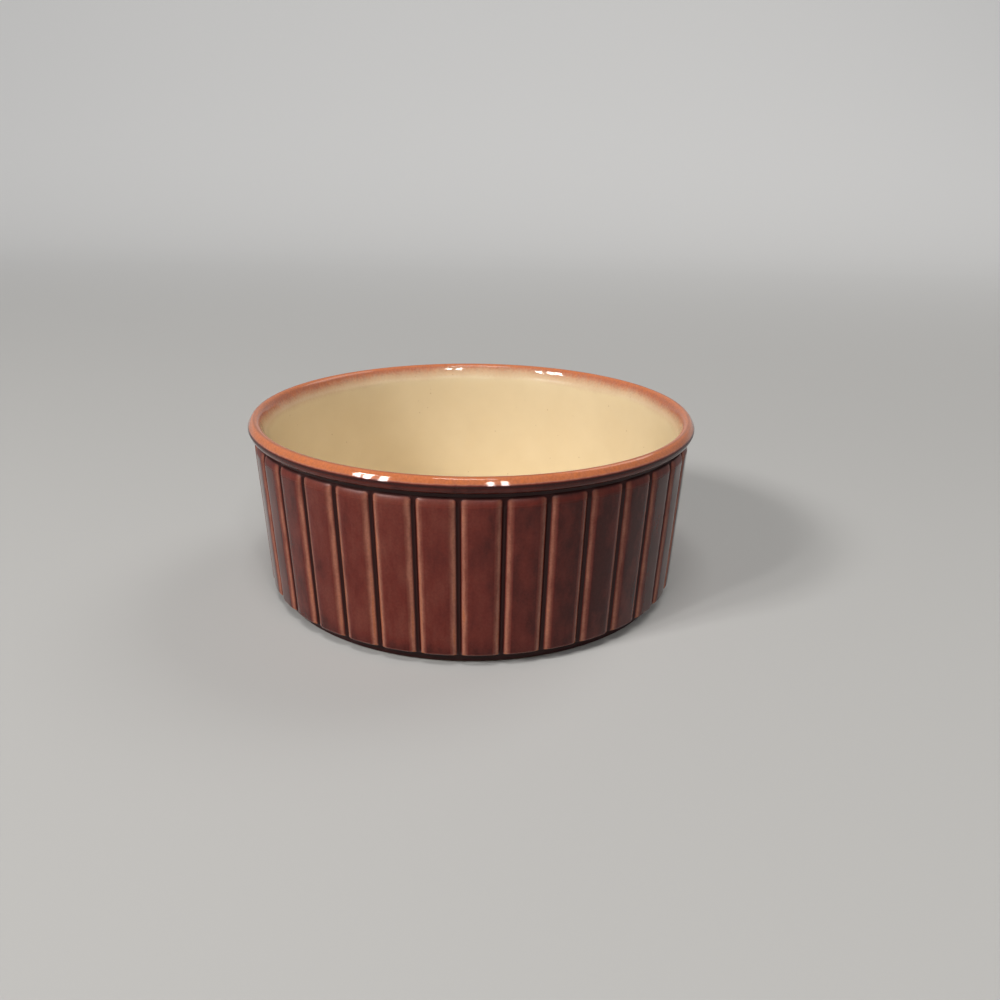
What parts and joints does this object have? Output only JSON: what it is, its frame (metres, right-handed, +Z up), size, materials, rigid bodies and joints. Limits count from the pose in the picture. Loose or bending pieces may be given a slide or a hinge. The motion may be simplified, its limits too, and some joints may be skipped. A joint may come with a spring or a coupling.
{
  "type": "casserole dish",
  "caption": "Open round stoneware casserole dish with an upright panelled wall, rolled rim, cream glazed inside and brown glazed outside, standing on a foot ring.",
  "frame": {"origin": "centre of the foot ring, on the plane that the dish stands on", "axes": "+Z up along the dish's axis, towards the open rim; -Y is the front, where a groove between two panels lies"},
  "size_m": [0.2, 0.2, 0.08],
  "materials": {
    "stoneware": "bare fired clay",
    "cream_glaze": "gloss glaze",
    "brown_glaze": "gloss glaze that breaks to orange brown on edges"
  },
  "bodies": {
    "root": {"stoneware_body": "stoneware", "cream_liner_glaze": "cream_glaze", "brown_outer_glaze": "brown_glaze"}
  },
  "joints": []
}
